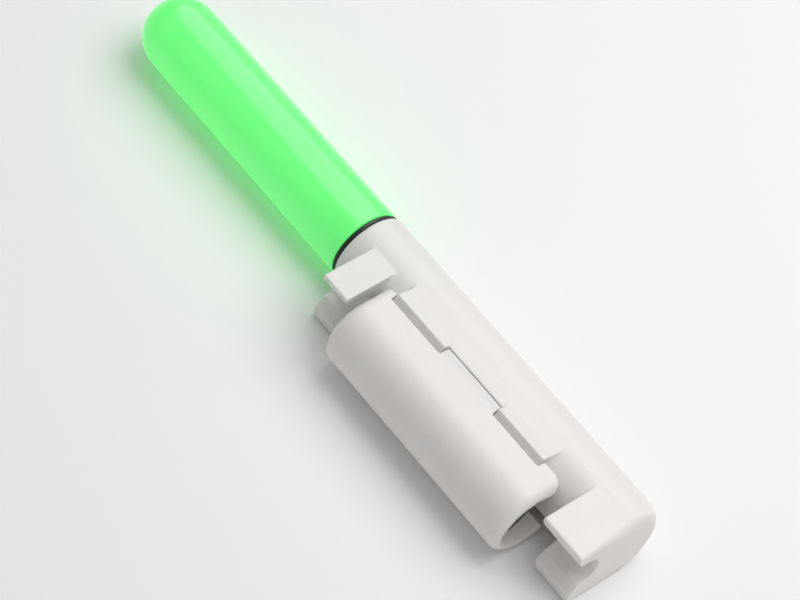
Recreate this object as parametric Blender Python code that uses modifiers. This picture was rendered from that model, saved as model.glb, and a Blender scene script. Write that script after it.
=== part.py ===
"""Clip-on night light for a fishing-rod tip.

A green light tube plugs into a white moulded holder.  The holder carries a pin cell inside,
a grooved hook at each end for the rod, and a hinged clamp sleeve whose foam pad presses the
rod into the two grooves.

World frame: X runs along the light from the dome (-X) to the tail (+X), the rod side faces -Y,
+Z is up.  The light lies on the flat undersides of its two hooks, and the origin is at the
middle of the bottom of its bounding box.  Parts are placed from the "stick" frame, whose
origin is the tip of the dome, on the axis of the tube.
"""
import math

import bmesh
import bpy

MM = 0.001

# ---- driving dimensions (millimetres) --------------------------------------------------------
LENGTH = 72.4                   # dome tip to tail
HOLDER_R = 4.0                  # outside of the white holder
TUBE_R = 3.89                   # outside of the green tube
TUBE_END = 33.3                 # open end of the green tube
RIM = 33.8                      # mouth of the holder
BORE_R = 3.0                    # bore of the holder, and of the green tube
BORE_END = 65.7
FOOT = HOLDER_R + 0.02          # flat undersides of the hooks, below the tube axis
TOP = HOLDER_R - 0.02           # flat top of the hinge shelf and the tail hook

# Each hook: its upper prong's span, reach and top, then its lower prong's span and reach.
HOOKS = (
    {"upper": (35.9, 39.3), "upper_reach": 7.4, "top": 3.74, "lower": (35.2, 39.3), "lower_reach": 7.0},
    {"upper": (67.2, LENGTH), "upper_reach": 6.8, "top": TOP, "lower": (67.8, LENGTH), "lower_reach": 6.7},
)
PRONG_TIP = 0.6                 # thickness of an upper prong at its tip
GROOVE_R = 2.0                  # rod groove, a slot with a round inner end
GROOVE_Z = 0.55
GROOVE_END = 3.92               # inner end of the groove, from the tube axis
ROD_FLAT = 3.65                 # flat on the tube beside the rod, between the hooks

HINGE_Y = -3.05                 # hinge axis, from the tube axis
HINGE_Z = 3.6
LUG_R = 0.75                    # fixed knuckles on the holder
KNUCKLE_R = 0.45                # moving knuckle on the sleeve
HINGE_GAP = 0.08
PIN_R = 0.22
SHELF_SPAN = (41.5, 62.7)
LUG_SPANS = ((41.5, 48.5), (56.3, 62.7))

SLEEVE_SPAN = (40.1, 65.5)
SLEEVE_Y = -6.13                # axis of the sleeve, from the tube axis
SLEEVE_R = 4.0
SLEEVE_BORE_R = 3.04
SLEEVE_EDGE_Y = -3.1            # edge of the sleeve's flat top, beside the hinge
LIP_ANGLE = -50.0               # where the free lip of the C section ends

PAD_ANGLE = 130.0               # direction from the sleeve axis to the middle of the pad
PAD_FACE = 2.15                 # flat face of the pad, from the sleeve axis
FIT = 0.05                      # gap between pieces that rest against each other

PLUG_R = 2.85
PLUG_BORE_R = 2.4
PLUG_SPAN = (26.3, 41.3)
CELL_R = 2.1                    # pin-type lithium cell, 4.2 mm across and 25.9 mm long
CAN_SPAN = (39.5, 60.9)
COLLAR_SPAN = (38.8, 39.45)
PIN_SPAN = (35.0, 39.4)
CELL_PIN_R = 0.5
SOCKET_SPAN = (33.7, 38.6)      # bush that holds the contacts
LED_BASE = 24.7                 # back of the LED's flange
LEAD_Y = 0.635                  # half the spacing of the LED's two leads
LEAD_R = 0.22

TAIL_START = 67.7               # where the tail starts to narrow
TAIL_RADII = (7.54, 4.05, 5.3)  # its shape, as an ellipsoid's half axes

SIDES = 48                      # facets round a visible turned part
INNER_SIDES = 24                # facets round an inner one

BOX_CENTRE_Y = SLEEVE_Y / 2     # middle of the width, from the tube axis


# ---- scene ------------------------------------------------------------------------------------
for old in list(bpy.data.objects):
    bpy.data.objects.remove(old, do_unlink=True)

PARTS = bpy.data.collections.new("rod_tip_light")
CUTTERS = bpy.data.collections.new("cutters")
bpy.context.scene.collection.children.link(PARTS)
bpy.context.scene.collection.children.link(CUTTERS)


def material(name, colour, roughness, metallic=0.0, emission=None):
    """A Principled BSDF of one colour; `emission` lights it with its own colour."""
    made = bpy.data.materials.new(name)
    made.use_nodes = True
    shader = made.node_tree.nodes["Principled BSDF"]
    shader.inputs["Base Color"].default_value = (*colour, 1.0)
    shader.inputs["Roughness"].default_value = roughness
    shader.inputs["Metallic"].default_value = metallic
    if emission:
        shader.inputs["Emission Color"].default_value = (*colour, 1.0)
        shader.inputs["Emission Strength"].default_value = emission
    return made


def empty(name, location, parent=None):
    """A frame that parts hang from; location is in the parent's millimetres."""
    made = bpy.data.objects.new(name, None)
    made.empty_display_size = 2 * MM
    made.location = [value * MM for value in location]
    made.parent = parent
    PARTS.objects.link(made)
    return made


STICK = empty("stick_frame", (-LENGTH / 2, -BOX_CENTRE_Y, FOOT))
LAMP = empty("lamp_slide", (RIM, 0, 0), STICK)
CLAMP = empty("clamp_hinge", (SLEEVE_SPAN[0], HINGE_Y, HINGE_Z), STICK)
LAMP_ORIGIN = (RIM, 0, 0)
CLAMP_ORIGIN = (SLEEVE_SPAN[0], HINGE_Y, HINGE_Z)
ORIGIN = {STICK: (0, 0, 0), LAMP: LAMP_ORIGIN, CLAMP: CLAMP_ORIGIN}


def add(name, mesh, parent, rotation=(0, 0, 0), at=(0, 0, 0), skin=None):
    """Put a mesh in the model, `at` in the stick frame, under one of the three frames."""
    thing = bpy.data.objects.new(name, mesh)
    thing.parent = parent
    thing.location = [(a - b) * MM for a, b in zip(at, ORIGIN[parent])]
    thing.rotation_euler = rotation
    if skin:
        mesh.materials.append(skin)
        PARTS.objects.link(thing)
    else:
        thing.hide_render = True
        thing.display_type = "WIRE"
        CUTTERS.objects.link(thing)
    return thing


def smooth(thing):
    """Shade a round piece smooth, keeping its corners sharp."""
    thing.data.shade_smooth()
    thing.data.set_sharp_from_angle(angle=math.radians(35))


def turned(name, profile, parent, skin=None, closed=False, sides=SIDES, at=(0, 0, 0)):
    """Turn (station, radius) points round the X axis; the outer side runs from tail to dome."""
    mesh = bpy.data.meshes.new(name)
    points = [(radius * MM, 0, station * MM) for station, radius in profile]
    edges = [(i, i + 1) for i in range(len(points) - 1)]
    if closed:
        edges.append((len(points) - 1, 0))
    mesh.from_pydata(points, edges, [])
    thing = add(name, mesh, parent, (0, math.pi / 2, 0), at, skin)
    screw = thing.modifiers.new("turn", "SCREW")
    screw.steps = screw.render_steps = sides
    screw.use_merge_vertices = True
    screw.merge_threshold = 1e-6
    return thing


def arc(centre, radius, start, end, steps):
    """Points on a circle, angles in degrees."""
    found = []
    for i in range(steps + 1):
        angle = math.radians(start + (end - start) * i / steps)
        found.append((centre[0] + radius * math.cos(angle), centre[1] + radius * math.sin(angle)))
    return found


def prism(name, outline, span, parent, skin=None, plan=False):
    """Extrude an outline: across the tube (y, z) between two stations, or plan (x, y) in height."""
    curve = bpy.data.curves.new(name, "CURVE")
    curve.dimensions = "2D"
    curve.fill_mode = "BOTH"
    curve.extrude = (span[1] - span[0]) / 2 * MM
    spline = curve.splines.new("POLY")
    spline.points.add(len(outline) - 1)
    for point, (a, b) in zip(spline.points, outline):
        point.co = (a * MM, b * MM, 0, 1)
    spline.use_cyclic_u = True
    middle = (span[0] + span[1]) / 2
    drawn = bpy.data.objects.new(name + "_outline", curve)
    CUTTERS.objects.link(drawn)
    mesh = bpy.data.meshes.new_from_object(drawn.evaluated_get(bpy.context.evaluated_depsgraph_get()))
    bpy.data.objects.remove(drawn, do_unlink=True)
    welded = bmesh.new()
    welded.from_mesh(mesh)
    bmesh.ops.remove_doubles(welded, verts=welded.verts, dist=1e-7)
    bmesh.ops.dissolve_limit(welded, angle_limit=math.radians(1), verts=welded.verts, edges=welded.edges)
    bmesh.ops.recalc_face_normals(welded, faces=welded.faces)
    welded.to_mesh(mesh)
    welded.free()
    mesh.name = name
    if plan:
        return add(name, mesh, parent, (0, 0, 0), (0, 0, middle), skin)
    return add(name, mesh, parent, (math.pi / 2, 0, math.pi / 2), (middle, 0, 0), skin)


def rod(name, span, radius, centre=(0, 0), parent=STICK, skin=None, sides=INNER_SIDES):
    """A plain round bar along X, centred on (y, z)."""
    mesh = bpy.data.meshes.new(name)
    cylinder = bmesh.new()
    bmesh.ops.create_cone(cylinder, cap_ends=True, segments=sides, radius1=radius * MM,
                          radius2=radius * MM, depth=(span[1] - span[0]) * MM)
    cylinder.to_mesh(mesh)
    cylinder.free()
    middle = ((span[0] + span[1]) / 2, *centre)
    return add(name, mesh, parent, (0, math.pi / 2, 0), middle, skin)


def box(name, corners, parent, skin=None):
    """A plain block between two corners."""
    mesh = bpy.data.meshes.new(name)
    cube = bmesh.new()
    bmesh.ops.create_cube(cube, size=MM)
    size = [high - low for low, high in zip(*corners)]
    bmesh.ops.scale(cube, vec=size, verts=cube.verts)
    cube.to_mesh(mesh)
    cube.free()
    return add(name, mesh, parent, at=[(low + high) / 2 for low, high in zip(*corners)], skin=skin)


def ellipsoid(name, centre, radii, parent):
    """A ball stretched to three half axes."""
    mesh = bpy.data.meshes.new(name)
    ball = bmesh.new()
    bmesh.ops.create_uvsphere(ball, u_segments=48, v_segments=32, radius=MM)
    bmesh.ops.scale(ball, vec=radii, verts=ball.verts)
    ball.to_mesh(mesh)
    ball.free()
    return add(name, mesh, parent, at=centre)


def combine(thing, other, operation):
    """Join or cut with another closed mesh."""
    step = thing.modifiers.new(other.name, "BOOLEAN")
    step.object = other
    step.operation = operation
    step.solver = "EXACT"


def bevel(thing, width, segments=2, angle=40):
    """Round the sharp edges of a piece."""
    step = thing.modifiers.new("round", "BEVEL")
    step.width = width * MM
    step.segments = segments
    step.limit_method = "ANGLE"
    step.angle_limit = math.radians(angle)


def wire(name, points, radius, parent, skin):
    """A round wire through a few corners, closed at both ends."""
    curve = bpy.data.curves.new(name, "CURVE")
    curve.dimensions = "3D"
    curve.bevel_depth = radius * MM
    curve.bevel_resolution = 2
    curve.use_fill_caps = True
    spline = curve.splines.new("POLY")
    spline.points.add(len(points) - 1)
    for point, place in zip(spline.points, points):
        point.co = (*[value * MM for value in place], 1)
    curve.materials.append(skin)
    thing = bpy.data.objects.new(name, curve)
    thing.parent = parent
    thing.location = [-value * MM for value in ORIGIN[parent]]
    PARTS.objects.link(thing)
    return thing


# ---- outlines ---------------------------------------------------------------------------------
def upper_prong(hook):
    """The upper half of a hook: a prong that thins towards its tip, above the rod groove."""
    centre = (-GROOVE_END - GROOVE_R, GROOVE_Z)
    tip = -hook["upper_reach"]
    outside = [(0, hook["top"]), (tip, hook["top"]), (tip, hook["top"] - PRONG_TIP)]
    return outside + arc(centre, GROOVE_R, 105, 0, 8) + [(0, GROOVE_Z)]


def lower_prong(hook):
    """The lower half: a thicker prong with a flat underside that the light lies on."""
    centre = (-GROOVE_END - GROOVE_R, GROOVE_Z)
    tip = -hook["lower_reach"]
    inside = [(0, GROOVE_Z)] + arc(centre, GROOVE_R, 0, -90, 6)
    return inside + [(tip, -FOOT + 1.6), (tip + 0.1, -FOOT), (0, -FOOT)]


def lug_outline():
    """A fixed knuckle whose back runs down into the shelf."""
    round_side = arc((HINGE_Y, HINGE_Z), LUG_R, 80, 200, 11)
    return round_side + [(-3.5, 1.85), (-1.6, 2.4), (-0.9, TOP - 0.3)]


def sleeve_outline():
    """A C section with a flat top that reaches the hinge; its free lip stays clear of the tube."""
    outer = arc((SLEEVE_Y, 0), SLEEVE_R, 90, 360 + LIP_ANGLE, 26)
    inner = arc((SLEEVE_Y, 0), SLEEVE_BORE_R, 360 + LIP_ANGLE, 90, 26)
    edge = [(SLEEVE_EDGE_Y - 0.5, SLEEVE_BORE_R - 0.1), (SLEEVE_EDGE_Y, HINGE_Z - KNUCKLE_R),
            (SLEEVE_EDGE_Y, SLEEVE_R)]
    return outer + inner + edge


def segment_outline(outer_radius, inner_radius=None):
    """The strip behind the pad's flat face: a circle segment, or a curved band of even thickness."""
    half = math.degrees(math.acos(PAD_FACE / outer_radius)) - 1.0
    outer = arc((SLEEVE_Y, 0), outer_radius, PAD_ANGLE - half, PAD_ANGLE + half, 10)
    if inner_radius is None:
        return outer
    return outer + arc((SLEEVE_Y, 0), inner_radius, PAD_ANGLE + half, PAD_ANGLE - half, 10)


def dome(tip, radius, steps=8):
    """Profile points of a round end, from its widest ring to its tip."""
    points = []
    for i in range(steps + 1):
        angle = math.pi / 2 * i / steps
        points.append((tip + radius * (1 - math.sin(angle)), radius * math.cos(angle)))
    points[-1] = (tip, 0.0)
    return points


# ---- holder -----------------------------------------------------------------------------------
def holder_body():
    """The white moulding: tube, two hooks, hinge shelf and lugs, blind bore for the cell."""
    skin = material("holder_white", (0.86, 0.84, 0.82), 0.42)
    profile = [(LENGTH, 0), (LENGTH, HOLDER_R), (RIM + 0.3, HOLDER_R), (RIM, HOLDER_R - 0.25), (RIM, 0)]
    body = turned("holder_body", profile, STICK, skin)
    for index, hook in enumerate(HOOKS):
        for half, outline in (("upper", upper_prong(hook)), ("lower", lower_prong(hook))):
            block = prism(f"{half}_prong_{index}", outline, hook[half], STICK)
            bevel(block, 0.2)
            combine(body, block, "UNION")
    shelf = prism("shelf_block", [(0, TOP), (HINGE_Y, TOP), (HINGE_Y, 2.6), (0, 2.6)], SHELF_SPAN, STICK)
    combine(body, shelf, "UNION")
    for index, span in enumerate(LUG_SPANS):
        combine(body, prism(f"lug_block_{index}", lug_outline(), span, STICK), "UNION")

    # The tail is rounded on the side away from the rod, and the tube is flat beside the rod.
    trim = box("tail_trim", ((TAIL_START, 0.02, -6), (LENGTH + 2, 6, 6)), STICK)
    combine(trim, ellipsoid("tail_round", (TAIL_START, 0, 0), TAIL_RADII, STICK), "DIFFERENCE")
    combine(body, trim, "DIFFERENCE")
    flat = ((HOOKS[0]["upper"][1], -6, -1.9), (HOOKS[1]["upper"][0], -ROD_FLAT, 1.8))
    combine(body, box("rod_flat", flat, STICK), "DIFFERENCE")

    combine(body, rod("bore_cut", (RIM - 1, BORE_END), BORE_R, sides=SIDES), "DIFFERENCE")
    knuckle_room = (LUG_SPANS[0][1], LUG_SPANS[1][0])
    room = rod("knuckle_cut", knuckle_room, KNUCKLE_R + HINGE_GAP, (HINGE_Y, HINGE_Z))
    combine(body, room, "DIFFERENCE")
    pin_hole = (LUG_SPANS[0][0] + 0.5, LUG_SPANS[1][1] + 1)
    combine(body, rod("pin_cut", pin_hole, PIN_R + FIT, (HINGE_Y, HINGE_Z), sides=16), "DIFFERENCE")
    smooth(body)


def hinge_pin():
    """A plain steel pin through both lugs and the sleeve's knuckle."""
    skin = material("pin_steel", (0.62, 0.63, 0.65), 0.3, 1.0)
    span = (LUG_SPANS[0][0] + 0.6, LUG_SPANS[1][1] - 0.1)
    smooth(rod("hinge_pin", span, PIN_R, (HINGE_Y, HINGE_Z), STICK, skin, 16))


def battery_cushion():
    """A rubber plug at the bottom of the bore, which keeps the cell from rattling."""
    skin = material("cushion_rubber", (0.05, 0.05, 0.055), 0.8)
    profile = [(BORE_END - FIT, 0), (BORE_END - FIT, 2.8), (61.5, 2.8), (61.1, 2.4), (61.1, 0)]
    smooth(turned("battery_cushion", profile, STICK, skin, sides=INNER_SIDES))


# ---- lamp -------------------------------------------------------------------------------------
def light_tube():
    """The green light tube, a test tube with its open end on the seal."""
    skin = material("tube_green", (0.20, 0.95, 0.27), 0.25, 0.0, 0.8)
    inside = [(station, radius) for station, radius in reversed(dome(0.9, BORE_R))]
    profile = inside + [(TUBE_END, BORE_R), (TUBE_END, TUBE_R)] + dome(0, TUBE_R, 10)
    smooth(turned("light_tube", profile, LAMP, skin, at=(0, 0, 0)))


def seal_ring():
    """The black ring between the tube and the mouth of the holder."""
    skin = material("seal_rubber", (0.01, 0.01, 0.01), 0.5)
    tail, head = RIM - FIT, TUBE_END + FIT
    profile = [(tail, 2.95), (tail, 3.72), (tail - 0.1, 3.82), (head + 0.1, 3.82), (head, 3.72), (head, 2.95)]
    smooth(turned("seal_ring", profile, LAMP, skin, closed=True))


def lamp_plug():
    """The white sleeve that joins the light tube to the holder and carries the contacts."""
    skin = material("plug_white", (0.85, 0.85, 0.83), 0.45)
    head, tail = PLUG_SPAN
    profile = [(tail, PLUG_BORE_R), (tail, PLUG_R - 0.2), (tail - 0.3, PLUG_R), (head, PLUG_R),
               (head, PLUG_BORE_R)]
    smooth(turned("lamp_plug", profile, LAMP, skin, closed=True, sides=32))


def led():
    """A 3 mm LED: lens with its flange, the chip in its cup, and two leads."""
    lens_skin = material("led_epoxy", (0.45, 0.9, 0.5), 0.1)
    lead_skin = material("lead_tin", (0.75, 0.75, 0.76), 0.3, 1.0)
    chip_skin = material("chip_die", (0.8, 0.9, 0.3), 0.4)
    flange = LED_BASE - 0.9
    profile = [(LED_BASE, 0), (LED_BASE, 1.9), (flange, 1.9), (flange, 1.5)] + dome(LED_BASE - 5.3, 1.5, 6)
    lens = turned("led_lens", profile, LAMP, lens_skin, sides=INNER_SIDES)
    for side in (-1, 1):
        drilled = (LED_BASE - 2.6, LED_BASE + 1)
        hole = rod(f"led_hole_{side + 1}", drilled, LEAD_R + 0.08, (side * LEAD_Y, 0), LAMP, sides=12)
        combine(lens, hole, "DIFFERENCE")
    room = (LED_BASE - 3.4, LED_BASE - 2.4)
    combine(lens, rod("chip_room", room, 0.6, (0, 0), LAMP, sides=12), "DIFFERENCE")
    smooth(lens)
    half = 0.17
    middle = LED_BASE - 2.85
    box("led_chip", ((middle - half, -half, -half), (middle + half, half, half)), LAMP, chip_skin)

    start, end = LED_BASE - 2.4, SOCKET_SPAN[0] - 0.3
    wire("led_anode_lead", [(start, -LEAD_Y, 0), (LED_BASE + 8, -LEAD_Y, 0), (end, -LEAD_Y, 0)], LEAD_R, LAMP,
         lead_skin)
    cathode = [(start, LEAD_Y, 0), (LED_BASE + 6, LEAD_Y, 0), (LED_BASE + 7.4, 1.9, 0), (end, 1.9, 0)]
    wire("led_cathode_lead", cathode, LEAD_R, LAMP, lead_skin)


def led_holder():
    """The disc that centres the LED in the tube."""
    skin = material("led_holder_white", (0.88, 0.88, 0.86), 0.5)
    head, tail = LED_BASE + 0.1, LED_BASE + 1.5
    disc = turned("led_holder", [(tail, 0), (tail, PLUG_R), (head, PLUG_R), (head, 0)], LAMP, skin,
                  sides=INNER_SIDES)
    for side in (-1, 1):
        drilled = (LED_BASE - 1, LED_BASE + 3)
        hole = rod(f"lead_hole_{side + 1}", drilled, LEAD_R + 0.08, (side * LEAD_Y, 0), LAMP, sides=12)
        combine(disc, hole, "DIFFERENCE")
    smooth(disc)


def contacts():
    """The socket for the cell: a bush, a sleeve that grips the pin, a strip that touches the can."""
    brass = material("contact_brass", (0.78, 0.6, 0.25), 0.3, 1.0)
    nickel = material("contact_nickel", (0.72, 0.7, 0.66), 0.3, 1.0)
    bush_skin = material("bush_black", (0.03, 0.03, 0.03), 0.5)
    head, tail = SOCKET_SPAN
    bush = [(tail, 0.95), (tail, 1.75), (head, 1.75), (head, 0.95)]
    smooth(turned("socket_insulator", bush, LAMP, bush_skin, True, INNER_SIDES))
    socket = [(tail - 0.3, 0.56), (tail - 0.3, 0.85), (head - 0.15, 0.85), (head - 0.15, 0.56)]
    smooth(turned("pin_contact", socket, LAMP, brass, True, INNER_SIDES))
    strip = [(-0.6, 2.16), (0.6, 2.16), (0.6, 2.28), (-0.6, 2.28)]
    outline = [(height, across) for across, height in strip]
    prism("can_contact", outline, (head - 2.5, tail + 2.5), LAMP, nickel)


def cell():
    """A pin-type lithium cell: the can, its insulating collar and the pin."""
    can_skin = material("can_steel", (0.7, 0.71, 0.72), 0.28, 1.0)
    collar_skin = material("collar_plastic", (0.08, 0.2, 0.5), 0.5)
    pin_skin = material("cell_pin_steel", (0.75, 0.75, 0.75), 0.25, 1.0)
    tail, head = CAN_SPAN[1], CAN_SPAN[0]
    can = [(tail, 0), (tail, CELL_R - 0.3), (tail - 0.3, CELL_R), (head + 0.2, CELL_R), (head, CELL_R - 0.2),
           (head, 0)]
    smooth(turned("battery_can", can, LAMP, can_skin, sides=INNER_SIDES))
    head, tail = COLLAR_SPAN
    inner = CELL_PIN_R + FIT
    collar = [(tail, inner), (tail, 1.5), (head, 1.5), (head, inner)]
    smooth(turned("battery_gasket", collar, LAMP, collar_skin, True, INNER_SIDES))
    head, tail = PIN_SPAN
    pin = [(tail, 0), (tail, CELL_PIN_R), (head + 0.3, CELL_PIN_R), (head, 0.25), (head, 0)]
    smooth(turned("battery_pin", pin, LAMP, pin_skin, sides=16))


# ---- clamp ------------------------------------------------------------------------------------
def clamp_sleeve():
    """The hinged sleeve, notched for the lugs, with one knuckle between them."""
    skin = material("sleeve_white", (0.86, 0.84, 0.82), 0.42)
    sleeve = prism("clamp_sleeve", sleeve_outline(), SLEEVE_SPAN, CLAMP, skin)
    bevel(sleeve, 0.4)
    for index, (start, end) in enumerate(LUG_SPANS):
        edge = HINGE_Y - LUG_R - HINGE_GAP
        outline = [(edge, 2), (SLEEVE_EDGE_Y + 1, 2), (SLEEVE_EDGE_Y + 1, 5), (edge, 5)]
        notch = prism(f"lug_notch_{index}", outline, (start - HINGE_GAP, end + HINGE_GAP), CLAMP)
        combine(sleeve, notch, "DIFFERENCE")
    middle = (LUG_SPANS[0][1] + HINGE_GAP, LUG_SPANS[1][0] - HINGE_GAP)
    combine(sleeve, rod("knuckle_join", middle, KNUCKLE_R, (HINGE_Y, HINGE_Z), CLAMP), "UNION")
    hole = (middle[0] - 1, middle[1] + 1)
    combine(sleeve, rod("knuckle_hole", hole, PIN_R + FIT, (HINGE_Y, HINGE_Z), CLAMP, sides=16), "DIFFERENCE")
    smooth(sleeve)


def clamp_pad():
    """The foam pad inside the sleeve, flat where it meets the rod, and the tape that holds it."""
    foam = material("pad_foam", (0.02, 0.02, 0.022), 0.95)
    tape = material("pad_tape", (0.75, 0.73, 0.65), 0.6)
    span = (SLEEVE_SPAN[0] + 0.3, SLEEVE_SPAN[1] - 0.12)
    prism("clamp_pad", segment_outline(2.8), span, CLAMP, foam)
    prism("pad_adhesive", segment_outline(2.98, 2.86), span, CLAMP, tape)


holder_body()
hinge_pin()
battery_cushion()
light_tube()
seal_ring()
lamp_plug()
led()
led_holder()
contacts()
cell()
clamp_sleeve()
clamp_pad()
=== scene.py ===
"""Looks of the rod-tip night light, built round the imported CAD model.

The visible mouldings are modelled again here with fine rounding, and each replaces its CAD node.
They are drawn in the "stick" frame: millimetres, X from the tip of the dome along the tube,
Y and Z from the tube's axis.  `place` moves a finished mesh into the row frame.
"""
import math

import bmesh
import bpy
from mathutils import Matrix, Vector


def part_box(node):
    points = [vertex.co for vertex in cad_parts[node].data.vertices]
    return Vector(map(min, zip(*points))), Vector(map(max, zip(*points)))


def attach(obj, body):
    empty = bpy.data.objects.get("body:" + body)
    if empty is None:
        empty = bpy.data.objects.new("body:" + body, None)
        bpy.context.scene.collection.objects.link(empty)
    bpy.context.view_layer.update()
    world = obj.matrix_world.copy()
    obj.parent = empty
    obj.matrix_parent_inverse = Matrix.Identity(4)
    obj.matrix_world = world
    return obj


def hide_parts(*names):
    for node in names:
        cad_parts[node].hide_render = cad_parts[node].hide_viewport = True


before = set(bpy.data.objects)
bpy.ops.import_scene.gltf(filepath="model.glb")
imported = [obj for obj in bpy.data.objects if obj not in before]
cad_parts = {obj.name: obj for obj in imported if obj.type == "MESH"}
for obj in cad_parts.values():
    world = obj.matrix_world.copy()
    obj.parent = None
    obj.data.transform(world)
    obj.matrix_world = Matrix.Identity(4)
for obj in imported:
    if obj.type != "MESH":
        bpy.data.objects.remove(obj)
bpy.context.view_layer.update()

MM = 0.001

# ---- where things are: the tube's axis and the stations come from the frame -------------------
tube_low, tube_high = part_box("light_tube")
AXIS = Vector((tube_low.x, (tube_low.y + tube_high.y) / 2, (tube_low.z + tube_high.z) / 2))


def span_x(node):
    """The first and last station of a CAD node, in stick millimetres."""
    low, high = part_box(node)
    return (low.x - AXIS.x) / MM, (high.x - AXIS.x) / MM


TUBE_END = span_x("light_tube")[1]
RIM, LENGTH = span_x("holder_body")
SLEEVE_START, SLEEVE_END = span_x("clamp_sleeve")
PAD_START, PAD_END = span_x("clamp_pad")
BORE_END = span_x("battery_cushion")[1]

# ---- section sizes, the same as the CAD model's ------------------------------------------------
HOLDER_R = 4.0
TUBE_R = 3.89
BORE_R = 3.0
FOOT = 4.02
TOP = 3.98
HOOKS = (
    {"upper": (35.9, 39.3), "upper_reach": 7.4, "top": 3.74, "lower": (35.2, 39.3), "lower_reach": 7.0},
    {"upper": (67.2, LENGTH), "upper_reach": 6.8, "top": TOP, "lower": (67.8, LENGTH), "lower_reach": 6.7},
)
PRONG_TIP = 0.6                  # thickness of an upper prong at its tip
GROOVE_R = 2.0
GROOVE_Z = 0.55
GROOVE_END = 3.92
ROD_FLAT = 3.65                  # flat on the tube beside the rod, from the tube axis
TAIL_START = 67.7                # where the tail starts to narrow
TAIL_RADII = (7.54, 4.05, 5.3)   # its shape, as an ellipsoid's half axes
HINGE = (-3.05, 3.6)             # hinge axis (y, z)
LUG_R = 0.75
KNUCKLE_R = 0.45
HINGE_GAP = 0.08
PIN_R = 0.22
SHELF = (41.5, 62.7)
LUGS = ((41.5, 48.5), (56.3, 62.7))
SLEEVE_Y = -6.13
SLEEVE_R = 4.0
SLEEVE_BORE_R = 3.04
SLEEVE_EDGE_Y = -3.1
LIP_ANGLE = -50.0                # where the free lip of the C section ends
PAD_ANGLE = 130.0                # direction from the sleeve axis to the middle of the pad
PAD_BACK = 2.8                   # curved back of the pad, from the sleeve axis
PAD_FACE = 2.15                  # flat face of the pad
TUBE_TIP_WALL = 0.9              # wall of the green tube at the tip of its dome

VOXEL = 0.1                      # grid of the remesh that melts the mouldings' edges together
ROUND = 160                      # facets round a turned piece
CLEAR = 1.0                      # how far a cutter runs past the piece that it cuts
PIN_FIT = 0.06                   # gap round the hinge pin


# ---- meshes -----------------------------------------------------------------------------------
def keep(name, built):
    """Turn a bmesh into an object, and free it."""
    bmesh.ops.recalc_face_normals(built, faces=built.faces)
    mesh = bpy.data.meshes.new(name)
    built.to_mesh(mesh)
    built.free()
    thing = bpy.data.objects.new(name, mesh)
    bpy.context.scene.collection.objects.link(thing)
    return thing


def arc(centre, radius, start, end, steps):
    """Points on a circle, angles in degrees."""
    found = []
    for i in range(steps + 1):
        angle = math.radians(start + (end - start) * i / steps)
        found.append((centre[0] + radius * math.cos(angle), centre[1] + radius * math.sin(angle)))
    return found


def eased(corners, steps=6):
    """A closed outline of (a, b, radius) corners, each corner replaced with an arc of that radius."""
    outline = []
    for i, (a, b, radius) in enumerate(corners):
        here = Vector((a, b))
        if not radius:
            outline.append((a, b))
            continue
        before = (Vector(corners[i - 1][:2]) - here).normalized()
        after = (Vector(corners[(i + 1) % len(corners)][:2]) - here).normalized()
        half = before.angle(after) / 2
        centre = here + (before + after).normalized() * (radius / math.sin(half))
        reach = radius / math.tan(half)
        first, last = here + before * reach - centre, here + after * reach - centre
        turn = first.angle_signed(last)
        for k in range(steps + 1):
            bent = Matrix.Rotation(-turn * k / steps, 2) @ first
            outline.append(tuple(centre + bent))
    return outline


def prism(name, outline, span, along="x", last=None):
    """Extrude an outline along an axis; it is drawn in the other two axes, in X, Y, Z order.

    With `last`, another outline of as many points, the section changes evenly along the way.
    """
    order = {"x": (2, 0, 1), "y": (0, 2, 1), "z": (0, 1, 2)}[along]
    built = bmesh.new()
    rings = []
    for level, section in zip(span, (outline, last or outline)):
        ring = []
        for a, b in section:
            values = (a, b, level)
            ring.append(built.verts.new([values[k] for k in order]))
        rings.append(ring)
    count = len(outline)
    for i in range(count):
        j = (i + 1) % count
        built.faces.new((rings[0][i], rings[0][j], rings[1][j], rings[1][i]))
    built.faces.new(rings[0])
    built.faces.new(rings[1])
    return keep(name, built)


def lathe(name, profile, closed=False, sides=ROUND, centre=(0, 0)):
    """Turn (station, radius) points round a line along X through (y, z)."""
    built = bmesh.new()
    rings = []
    for station, radius in profile:
        if radius == 0:
            rings.append([built.verts.new((station, *centre))])
            continue
        circle = [2 * math.pi * k / sides for k in range(sides)]
        rings.append([built.verts.new((station, centre[0] + radius * math.cos(t),
                                       centre[1] + radius * math.sin(t))) for t in circle])
    pairs = list(zip(rings, rings[1:]))
    if closed:
        pairs.append((rings[-1], rings[0]))
    for one, two in pairs:
        for k in range(sides):
            j = (k + 1) % sides
            corners = [one[k % len(one)], one[j % len(one)], two[j % len(two)], two[k % len(two)]]
            built.faces.new(list(dict.fromkeys(corners)))
    return keep(name, built)


def bar(name, span, radius, centre, sides=64):
    """A closed round bar along X."""
    start, end = span
    return lathe(name, [(start, 0), (start, radius), (end, radius), (end, 0)], sides=sides, centre=centre)


def combine(thing, other, operation):
    """Boolean with another closed mesh, which is used up."""
    step = thing.modifiers.new(other.name, "BOOLEAN")
    step.object = other
    step.operation = operation
    step.solver = "EXACT"
    settle(thing)
    bpy.data.objects.remove(other, do_unlink=True)


def settle(thing):
    """Apply every modifier."""
    evaluated = thing.evaluated_get(bpy.context.evaluated_depsgraph_get())
    mesh = bpy.data.meshes.new_from_object(evaluated)
    thing.modifiers.clear()
    thing.data = mesh


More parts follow.
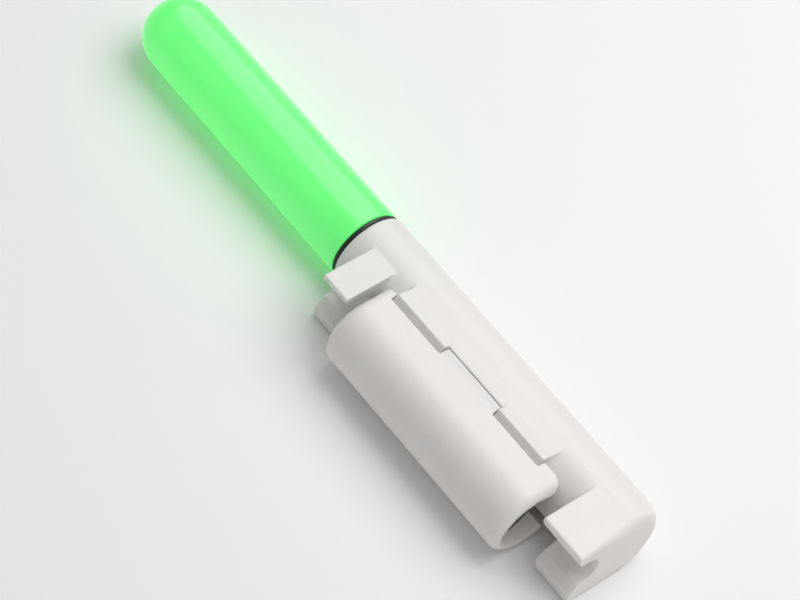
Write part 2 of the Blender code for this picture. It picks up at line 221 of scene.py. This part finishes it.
def melt(thing, passes=5, keep_share=0.35):
    """Remesh a moulding and relax it, so that its edges and inner corners get small radii."""
    remesh = thing.modifiers.new("melt", "REMESH")
    remesh.mode = "VOXEL"
    remesh.voxel_size = VOXEL
    relax = thing.modifiers.new("relax", "SMOOTH")
    relax.factor = 0.5
    relax.iterations = passes
    if keep_share < 1:
        thin = thing.modifiers.new("thin", "DECIMATE")
        thin.ratio = keep_share
    settle(thing)


def place(thing, body, node, skin):
    """Move a finished piece into the row frame, in place of its CAD node."""
    thing.data.transform(Matrix.Translation(AXIS) @ Matrix.Scale(MM, 4))
    thing.data.shade_smooth()
    thing.data.materials.clear()
    thing.data.materials.append(skin)
    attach(thing, body)
    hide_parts(node)
    return thing


def rounded_end(station, radius, size, outward, steps=8):
    """Profile points round a convex corner, from the end face (at station) to the full radius."""
    points = []
    for i in range(steps + 1):
        angle = math.pi / 2 * i / steps
        along, inward = size * (1 - math.cos(angle)), size * (1 - math.sin(angle))
        points.append((station - outward * along, radius - inward))
    return points


def dome(tip, radius, steps=28):
    """Profile points of a round end, from its widest ring to its tip."""
    points = []
    for i in range(steps):
        angle = math.pi / 2 * i / steps
        points.append((tip + radius * (1 - math.sin(angle)), radius * math.cos(angle)))
    return points + [(tip, 0)]


# ---- materials --------------------------------------------------------------------------------
class Surface:
    """A Principled material with noise in the object's own coordinates."""

    def __init__(self, name, colour, roughness, metallic=0.0):
        self.made = bpy.data.materials.new(name)
        self.made.use_nodes = True
        self.nodes = self.made.node_tree.nodes
        self.links = self.made.node_tree.links
        self.shader = self.nodes["Principled BSDF"]
        self.coords = self.nodes.new("ShaderNodeTexCoord").outputs["Object"]
        self.shader.inputs["Metallic"].default_value = metallic
        self.shader.inputs["Roughness"].default_value = roughness
        self.roughness = roughness
        self.colour = self.solid(colour)

    def solid(self, colour):
        """A colour as a socket that later steps can mix."""
        node = self.nodes.new("ShaderNodeRGB")
        node.outputs[0].default_value = (*colour, 1)
        return node.outputs[0]

    def set(self, **values):
        """Set shader sockets by name, with _ for a space."""
        for key, value in values.items():
            self.shader.inputs[key.replace("_", " ")].default_value = value
        return self

    def noise(self, size, detail=3.0, rough=0.55):
        """Noise with features of about `size` millimetres."""
        node = self.nodes.new("ShaderNodeTexNoise")
        node.inputs["Scale"].default_value = 1 / (size * MM)
        node.inputs["Detail"].default_value = detail
        node.inputs["Roughness"].default_value = rough
        self.links.new(self.coords, node.inputs["Vector"])
        return node.outputs["Fac"]

    def remap(self, value, low, high, to_low=0.0, to_high=1.0, kind="LINEAR"):
        """Map a value range to another, clamped."""
        node = self.nodes.new("ShaderNodeMapRange")
        node.interpolation_type = kind
        for key, number in (("From Min", low), ("From Max", high), ("To Min", to_low), ("To Max", to_high)):
            node.inputs[key].default_value = number
        self.links.new(value, node.inputs["Value"])
        return node.outputs["Result"]

    def axis(self, letter):
        """One of the object's own coordinates, in metres."""
        node = self.nodes.new("ShaderNodeSeparateXYZ")
        self.links.new(self.coords, node.inputs[0])
        return node.outputs[letter]

    def tint(self, mask, colour):
        """Mix the running colour towards another where the mask is 1."""
        node = self.nodes.new("ShaderNodeMix")
        node.data_type = "RGBA"
        self.links.new(mask, node.inputs["Factor"])
        self.links.new(self.colour, node.inputs[6])
        node.inputs[7].default_value = (*colour, 1)
        self.colour = node.outputs[2]
        return self

    def vary_roughness(self, mask, spread):
        """Let the roughness wander round its mean."""
        low, high = self.roughness - spread, self.roughness + spread
        self.links.new(self.remap(mask, 0.3, 0.7, low, high), self.shader.inputs["Roughness"])
        return self

    def bump(self, *layers):
        """Add relief; each layer is (value, depth in millimetres)."""
        last = None
        for value, depth in layers:
            node = self.nodes.new("ShaderNodeBump")
            node.inputs["Strength"].default_value = 1.0
            node.inputs["Distance"].default_value = depth * MM
            self.links.new(value, node.inputs["Height"])
            if last:
                self.links.new(last, node.inputs["Normal"])
            last = node.outputs["Normal"]
        self.links.new(last, self.shader.inputs["Normal"])
        return self

    def done(self):
        """Connect the colour and return the material."""
        self.links.new(self.colour, self.shader.inputs["Base Color"])
        return self.made


def moulded_white(name, glow=False):
    """Off-white satin plastic, faintly translucent; `glow` paints the lamp's green light into the colour near
    the rim.
    """
    skin = Surface(name, (0.85, 0.82, 0.80), 0.42)
    cloud = skin.noise(3.5, 3)
    skin.tint(skin.remap(cloud, 0.42, 0.68, 0.0, 0.35), (0.86, 0.80, 0.77))
    fine = skin.noise(0.25, 4, 0.6)
    skin.tint(skin.remap(fine, 0.3, 0.75, 0.0, 0.12), (0.72, 0.69, 0.67))
    specks = skin.noise(0.55, 1.5, 0.4)
    skin.tint(skin.remap(specks, 0.775, 0.81, 0.0, 0.25), (0.45, 0.42, 0.40))
    if glow:
        # painted green light from the lamp: base colour tinted green, fading out over 13 mm from the rim
        near = skin.remap(skin.axis("X"), AXIS.x + RIM * MM, AXIS.x + (RIM + 13) * MM, 1.0, 0.0, "SMOOTHSTEP")
        skin.tint(skin.remap(near, 0, 1, 0, 0.2), (0.58, 0.78, 0.60))
    skin.vary_roughness(skin.noise(1.2, 3), 0.05)
    skin.bump((skin.noise(0.16, 3, 0.5), 0.0035), (skin.noise(1.6, 2), 0.012))
    skin.set(Subsurface_Weight=0.25, Subsurface_Scale=0.0012, Subsurface_Radius=(1.0, 0.75, 0.6), IOR=1.47)
    return skin.done()


def lit_green():
    """Green translucent plastic with the lamp's light in it, deeper towards the seal."""
    skin = Surface("lit_green", (0.10, 0.78, 0.15), 0.24)
    along = skin.remap(skin.axis("X"), AXIS.x, AXIS.x + TUBE_END * MM)
    skin.tint(skin.remap(along, 0.75, 1.0, 0.0, 0.45, "SMOOTHSTEP"), (0.05, 0.60, 0.09))
    skin.tint(skin.remap(skin.noise(2.5, 2), 0.4, 0.7, 0.0, 0.2), (0.14, 0.84, 0.2))
    skin.vary_roughness(skin.noise(0.8, 3), 0.03)
    skin.bump((skin.noise(0.4, 2), 0.0015), (skin.noise(5.0, 2), 0.02))
    skin.set(Emission_Color=(0.20, 0.95, 0.26, 1), Emission_Strength=0.46, IOR=1.49)
    skin.set(Subsurface_Weight=0.3, Subsurface_Scale=0.002, Subsurface_Radius=(0.4, 1.0, 0.4))
    return skin.done()


def black_rubber(name, roughness=0.45):
    """Black rubber with a faint dusty bloom."""
    skin = Surface(name, (0.010, 0.011, 0.010), roughness)
    skin.tint(skin.remap(skin.noise(0.5, 4), 0.55, 0.75, 0.0, 0.25), (0.05, 0.05, 0.05))
    skin.vary_roughness(skin.noise(0.3, 3), 0.08)
    skin.bump((skin.noise(0.1, 3), 0.004))
    return skin.done()


def foam():
    """Closed-cell foam: black, with small cells."""
    skin = Surface("black_foam", (0.018, 0.018, 0.018), 0.9)
    cells = skin.nodes.new("ShaderNodeTexVoronoi")
    cells.inputs["Scale"].default_value = 1 / (0.22 * MM)
    skin.links.new(skin.coords, cells.inputs["Vector"])
    skin.tint(skin.remap(cells.outputs["Distance"], 0.1, 0.6, 0.0, 0.5), (0.055, 0.055, 0.055))
    skin.bump((cells.outputs["Distance"], 0.05), (skin.noise(0.5, 4), 0.05))
    return skin.done()


def metal(name, colour, roughness, along="X"):
    """Drawn or rolled metal with fine marks along one axis."""
    skin = Surface(name, colour, roughness, 1.0)
    darker = tuple(value * 0.7 for value in colour)
    skin.tint(skin.remap(skin.noise(0.6, 4), 0.45, 0.75, 0.0, 0.4), darker)
    stretch = skin.nodes.new("ShaderNodeMapping")
    stretch.inputs["Scale"].default_value = [0.05 if axis == along else 1.0 for axis in "XYZ"]
    skin.links.new(skin.coords, stretch.inputs["Vector"])
    marks = skin.nodes.new("ShaderNodeTexNoise")
    marks.inputs["Scale"].default_value = 1 / (0.08 * MM)
    skin.links.new(stretch.outputs[0], marks.inputs["Vector"])
    skin.vary_roughness(marks.outputs["Fac"], 0.1)
    skin.bump((marks.outputs["Fac"], 0.003))
    return skin.done()


def plain_plastic(name, colour, roughness):
    """Small moulded parts inside the lamp."""
    skin = Surface(name, colour, roughness)
    darker = tuple(value * 0.8 for value in colour)
    skin.tint(skin.remap(skin.noise(0.8, 3), 0.45, 0.75, 0.0, 0.4), darker)
    skin.vary_roughness(skin.noise(0.4, 3), 0.06)
    skin.bump((skin.noise(0.15, 3), 0.004))
    return skin.done()


# ---- outlines ---------------------------------------------------------------------------------
def upper_prong(hook):
    """The upper half of a hook: a prong that thins towards its tip, above the rod groove."""
    centre = (-GROOVE_END - GROOVE_R, GROOVE_Z)
    tip, top = -hook["upper_reach"], hook["top"]
    corners = [(0, top, 0), (tip, top, 0.18), (tip, top - PRONG_TIP, 0.18), (centre[0] - 0.5, 2.5, 0)]
    return eased(corners)[:-1] + arc(centre, GROOVE_R, 105, 0, 28) + [(0, GROOVE_Z)]


def lower_prong(hook):
    """The lower half: a thicker prong with a flat underside."""
    centre = (-GROOVE_END - GROOVE_R, GROOVE_Z)
    tip = -hook["lower_reach"]
    inside = [(0, GROOVE_Z)] + arc(centre, GROOVE_R, 0, -90, 24)
    foot = eased([(centre[0], -1.45, 0), (tip, -FOOT + 1.6, 0.25), (tip + 0.1, -FOOT, 0.4), (0, -FOOT, 0)])
    return inside + foot[1:]


def lug_outline():
    """A raised knuckle whose back runs down into the shelf."""
    # The wall is flat, and its crest and foot lie just inside the circle round the pin.
    crest, foot = (HINGE[0] - 0.12, HINGE[1] + LUG_R - 0.01), (HINGE[0] - LUG_R + 0.01, HINGE[1] - 0.12)
    wall = eased([(-2.7, 4.25, 0), (*crest, 0.08), (*foot, 0.15), (-3.5, 1.85, 0)])[1:]
    return [(-2.7, 4.25)] + wall + [(-1.6, 2.4), (-0.9, TOP - 0.3)]


# ---- pieces -----------------------------------------------------------------------------------
def tail_trim():
    """A cutter that rounds the tail on the side away from the rod and softens its end face's edge."""
    trim = prism("tail_trim", [(0.02, -6), (6, -6), (6, 6), (0.02, 6)], (TAIL_START, LENGTH + 2))
    corner, reach = 0.7, LENGTH - TAIL_START
    profile = [(LENGTH, 0)]
    for i in range(13):
        angle = math.pi / 2 * i / 12
        station = reach - corner * (1 - math.cos(angle))
        shrink = math.sqrt(1 - (station / TAIL_RADII[0]) ** 2) - corner / 4 * (1 - math.sin(angle))
        profile.append((TAIL_START + station, shrink))
    for i in range(1, 25):
        station = (reach - corner) * (1 - i / 24)
        profile.append((TAIL_START + station, math.sqrt(1 - (station / TAIL_RADII[0]) ** 2)))
    round_tail = lathe("tail_round", profile + [(TAIL_START - 1, 1), (TAIL_START - 1, 0)])
    round_tail.data.transform(Matrix.Diagonal((1, TAIL_RADII[1], TAIL_RADII[2], 1)))
    combine(trim, round_tail, "DIFFERENCE")
    return trim


def tail_edge():
    """A cutter for the edge of the flat top and the end face: crisp at the prong's tip, then rounder."""
    tip_round, far_round = 0.12, 1.7
    sections = []
    for size in (tip_round, far_round):
        across, down = LENGTH - size, TOP - size
        outside = [(LENGTH + CLEAR, TOP + CLEAR), (across, TOP + CLEAR)]
        sections.append(outside + arc((across, down), size, 90, 0, 10) + [(LENGTH + CLEAR, down)])
    span = (-HOOKS[1]["upper_reach"] - 0.2, HOLDER_R + 0.2)
    return prism("tail_edge", sections[0], span, "y", sections[1])


def make_holder(skin):
    """The white moulding with its hooks, shelf and lugs."""
    profile = [(LENGTH, 0), (LENGTH, HOLDER_R)] + [(RIM + 0.3, HOLDER_R)]
    profile += [(RIM + 0.1, HOLDER_R - 0.06), (RIM, HOLDER_R - 0.22), (RIM, 0)]
    body = lathe("holder_moulding", profile)
    for index, hook in enumerate(HOOKS):
        combine(body, prism(f"upper_prong_{index}", upper_prong(hook), hook["upper"]), "UNION")
        combine(body, prism(f"lower_prong_{index}", lower_prong(hook), hook["lower"]), "UNION")
    shelf = [(0, TOP), (HINGE[0], TOP), (HINGE[0], 2.6), (0, 2.6)]
    combine(body, prism("shelf", shelf, SHELF), "UNION")
    for index, span in enumerate(LUGS):
        combine(body, prism(f"lug_{index}", lug_outline(), span), "UNION")

    combine(body, tail_trim(), "DIFFERENCE")
    combine(body, tail_edge(), "DIFFERENCE")
    flat = [(-6, -1.9), (-ROD_FLAT, -1.9), (-ROD_FLAT, 1.8), (-6, 1.8)]
    combine(body, prism("rod_flat", flat, (HOOKS[0]["upper"][1], HOOKS[1]["upper"][0])), "DIFFERENCE")

    combine(body, bar("bore", (RIM - CLEAR, BORE_END), BORE_R, (0, 0), 128), "DIFFERENCE")
    between, seam = (LUGS[0][1], LUGS[1][0]), 0.05
    combine(body, bar("room", between, KNUCKLE_R + seam, HINGE), "DIFFERENCE")
    drilled = (SHELF[0] + 0.5, SHELF[1] + CLEAR)
    combine(body, bar("pin_hole", drilled, PIN_R + PIN_FIT, HINGE, 32), "DIFFERENCE")
    melt(body)
    return place(body, "holder", "holder_body", skin)


def make_sleeve(skin):
    """The clamp sleeve: a C section with bull-nosed ends and a flat top that runs to the hinge."""
    centre = (SLEEVE_Y, 0)
    end_round = 1.0
    outside = [(SLEEVE_END, 0)] + rounded_end(SLEEVE_END, SLEEVE_R, end_round, 1)
    outside += rounded_end(SLEEVE_START, SLEEVE_R, end_round, -1)[::-1] + [(SLEEVE_START, 0)]
    sleeve = lathe("clamp_moulding", outside, centre=centre)

    low, high = 2.55, SLEEVE_R
    side_view = eased([(SLEEVE_START, low, 0), (SLEEVE_END, low, 0), (SLEEVE_END, high, end_round),
                       (SLEEVE_START, high, end_round)])
    plate = prism("plate", side_view, (SLEEVE_Y, SLEEVE_EDGE_Y), "y")
    plan = eased([(SLEEVE_START, SLEEVE_Y - 1, 0), (SLEEVE_END, SLEEVE_Y - 1, 0),
                  (SLEEVE_END, SLEEVE_EDGE_Y, 1.0), (SLEEVE_START, SLEEVE_EDGE_Y, 0.4)])
    combine(plate, prism("plan", plan, (low - CLEAR, high + CLEAR), "z"), "INTERSECT")
    combine(sleeve, plate, "UNION")

    flare = 0.25
    wide, before, after = SLEEVE_BORE_R + flare, SLEEVE_START - CLEAR, SLEEVE_END + CLEAR
    inside = [(after, 0), (after, wide), (SLEEVE_END, wide), (SLEEVE_END - flare, SLEEVE_BORE_R),
              (SLEEVE_START + flare, SLEEVE_BORE_R), (SLEEVE_START, wide), (before, wide), (before, 0)]
    combine(sleeve, lathe("sleeve_bore", inside, centre=centre), "DIFFERENCE")

    # The mouth towards the tube: from the free lip up to the underside of the flat top.
    reach = 9.0
    lip = math.radians(LIP_ANGLE)
    mouth = [centre, (SLEEVE_Y + reach * math.cos(lip), reach * math.sin(lip)), (2, 2.9), (-3.2, 3.0),
             (-3.7, 2.94), (SLEEVE_Y + 0.6, 2.98)]
    combine(sleeve, prism("mouth", mouth, (before, after)), "DIFFERENCE")
    for index, (start, end) in enumerate(LUGS):
        edge = HINGE[0] - LUG_R - HINGE_GAP
        notch = [(edge, 2), (0, 2), (0, 5), (edge, 5)]
        combine(sleeve, prism(f"notch_{index}", notch, (start - HINGE_GAP, end + HINGE_GAP)), "DIFFERENCE")
    middle = (LUGS[0][1] + HINGE_GAP, LUGS[1][0] - HINGE_GAP)
    combine(sleeve, bar("knuckle", middle, KNUCKLE_R, HINGE), "UNION")
    drilled = (middle[0] - CLEAR, middle[1] + CLEAR)
    combine(sleeve, bar("knuckle_hole", drilled, PIN_R + PIN_FIT, HINGE, 32), "DIFFERENCE")
    melt(sleeve)
    return place(sleeve, "clamp", "clamp_sleeve", skin)


def make_tube(skin):
    """The light tube: a drawn-out dome, an even wall and a rounded mouth."""
    outer, inner = dome(0, TUBE_R), dome(TUBE_TIP_WALL, BORE_R)
    edge, ring_step = 0.18, 4.0
    mouth = rounded_end(TUBE_END, TUBE_R, edge, 1, 5)
    bands = [(TUBE_END - edge - k * ring_step, TUBE_R) for k in range(1, 8)]
    tube = lathe("green_tube", inner[::-1] + [(TUBE_END, BORE_R)] + mouth + bands + outer)
    return place(tube, "lamp", "light_tube", skin)


def make_seal(skin):
    """The ring: rubber squeezed between the tube and the rim, so its outside bulges."""
    low, high = TUBE_END, RIM
    middle, half = (low + high) / 2, (high - low) / 2
    bulge = [(middle + half * math.sin(t), 3.62 + 0.26 * math.cos(t))
             for t in (math.pi / 2 * (1 - 2 * i / 12) for i in range(13))]
    ring = lathe("seal", bulge + [(low, 2.96), (high, 2.96)], closed=True)
    return place(ring, "lamp", "seal_ring", skin)


def make_pad(skin):
    """The foam pad: a segment with a softly crowned face, cut ends and a slightly torn surface."""
    crown = 0.12
    half = math.degrees(math.acos(PAD_FACE / PAD_BACK)) - 1.0
    back = arc((SLEEVE_Y, 0), PAD_BACK, PAD_ANGLE - half, PAD_ANGLE + half, 24)
    start, end = Vector(back[-1]), Vector(back[0])
    inward = Vector((-math.cos(math.radians(PAD_ANGLE)), -math.sin(math.radians(PAD_ANGLE))))
    face = []
    for i in range(1, 24):
        share = i / 24
        face.append(tuple(start.lerp(end, share) + inward * crown * math.sin(math.pi * share)))
    pad = prism("foam_pad", back + face, (PAD_START, PAD_END))
    melt(pad, passes=4, keep_share=1)
    grain = bpy.data.textures.new("foam_grain", "CLOUDS")
    grain.noise_scale = 0.22
    rough = pad.modifiers.new("rough", "DISPLACE")
    rough.texture = grain
    rough.strength = 0.07
    rough.mid_level = 0.5
    settle(pad)
    made = place(pad, "clamp", "clamp_pad", skin)
    return made


def dress_inner_parts():
    """Give the CAD nodes that stay their own materials."""
    skins = {
        "hinge_pin": metal("drawn_pin", (0.60, 0.61, 0.63), 0.3),
        "battery_cushion": black_rubber("cushion_rubber", 0.7),
        "lamp_plug": plain_plastic("plug_plastic", (0.80, 0.80, 0.77), 0.4),
        "led_holder": plain_plastic("disc_plastic", (0.82, 0.82, 0.80), 0.5),
        "led_lens": plain_plastic("green_epoxy", (0.30, 0.80, 0.38), 0.12),
        "led_chip": plain_plastic("chip", (0.75, 0.85, 0.30), 0.35),
        "led_anode_lead": metal("tinned_lead", (0.74, 0.74, 0.75), 0.28),
        "led_cathode_lead": metal("tinned_lead_two", (0.74, 0.74, 0.75), 0.28),
        "socket_insulator": plain_plastic("bush_plastic", (0.03, 0.03, 0.03), 0.45),
        "pin_contact": metal("rolled_brass", (0.78, 0.58, 0.24), 0.3),
        "can_contact": metal("nickel_strip", (0.70, 0.68, 0.64), 0.28),
        "battery_can": metal("drawn_can", (0.68, 0.69, 0.70), 0.25),
        "battery_gasket": plain_plastic("collar_plastic", (0.05, 0.14, 0.42), 0.4),
        "battery_pin": metal("plated_pin", (0.74, 0.74, 0.73), 0.22),
        "pad_adhesive": plain_plastic("tape_film", (0.72, 0.69, 0.60), 0.6),
    }
    for node, skin in skins.items():
        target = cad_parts[node]
        target.data.materials.clear()
        target.data.materials.append(skin)


# ---- studio -----------------------------------------------------------------------------------
def area(name, at, aim, size, power, colour=(1, 1, 1)):
    """A soft box; sizes and places in millimetres from the origin."""
    data = bpy.data.lights.new(name, "AREA")
    data.shape = "RECTANGLE"
    data.size, data.size_y = size[0] * MM, size[1] * MM
    data.energy = power
    data.color = colour
    lamp = bpy.data.objects.new(name, data)
    lamp.location = Vector(at) * MM
    direction = Vector(aim) * MM - lamp.location
    lamp.rotation_mode = "QUATERNION"
    lamp.rotation_quaternion = direction.to_track_quat("-Z", "Y")
    bpy.context.scene.collection.objects.link(lamp)
    return lamp


def studio():
    """A pale floor, a broad key, a strip along the tube and a panel that shows only in gloss."""
    half, corner, thickness = 1500, 400, 2.0
    sheet = eased([(x * half, y * half, corner) for x, y in ((-1, -1), (1, -1), (1, 1), (-1, 1))])
    floor = prism("floor", sheet, (-thickness, 0.0), "z")
    floor.data.transform(Matrix.Scale(MM, 4))
    floor.location.z = -0.00002
    skin = Surface("floor_paper", (0.96, 0.96, 0.96), 0.9)
    skin.bump((skin.noise(1.0, 3), 0.01))
    floor.data.materials.append(skin.done())

    world = bpy.data.worlds.new("studio")
    bpy.context.scene.world = world
    world.use_nodes = True
    world.node_tree.nodes["Background"].inputs[0].default_value = (1, 1, 1, 1)
    world.node_tree.nodes["Background"].inputs[1].default_value = 0.36

    area("key", (60, 130, 260), (0, 0, 0), (300, 240), 0.54)
    area("strip", (-10, 30, 230), (0, 0, 0), (220, 10), 0.05)
    sheen = area("sheen", (-98, 118, 200), (0, 0, 0), (240, 300), 0.56)
    sheen.visible_diffuse = False


def camera():
    """A long lens from above the tail, on the rod side, rolled so the light lies down the frame."""
    azimuth, elevation, roll = math.radians(39.8), math.radians(53.87), math.radians(14.85)
    target, distance = Vector((3.94, 2.02, 4.02)) * MM, 279.0 * MM
    data = bpy.data.cameras.new("camera")
    data.lens = 135
    data.clip_start = 0.01
    data.clip_end = 10
    eye = bpy.data.objects.new("camera", data)
    back = Vector((math.sin(azimuth) * math.cos(elevation), -math.cos(azimuth) * math.cos(elevation),
                   math.sin(elevation)))
    right = Vector((math.cos(azimuth), math.sin(azimuth), 0))
    right = Matrix.Rotation(roll, 3, back) @ right
    up = back.cross(right)
    turn = Matrix((right, up, back)).transposed()
    eye.matrix_world = Matrix.Translation(target + back * distance) @ turn.to_4x4()
    bpy.context.scene.collection.objects.link(eye)
    bpy.context.scene.camera = eye


bpy.context.scene.view_settings.view_transform = "Standard"
camera()
studio()
make_tube(lit_green())
make_seal(black_rubber("seal_black"))
make_holder(moulded_white("holder_plastic", glow=True))
make_sleeve(moulded_white("sleeve_plastic"))
make_pad(foam())
dress_inner_parts()
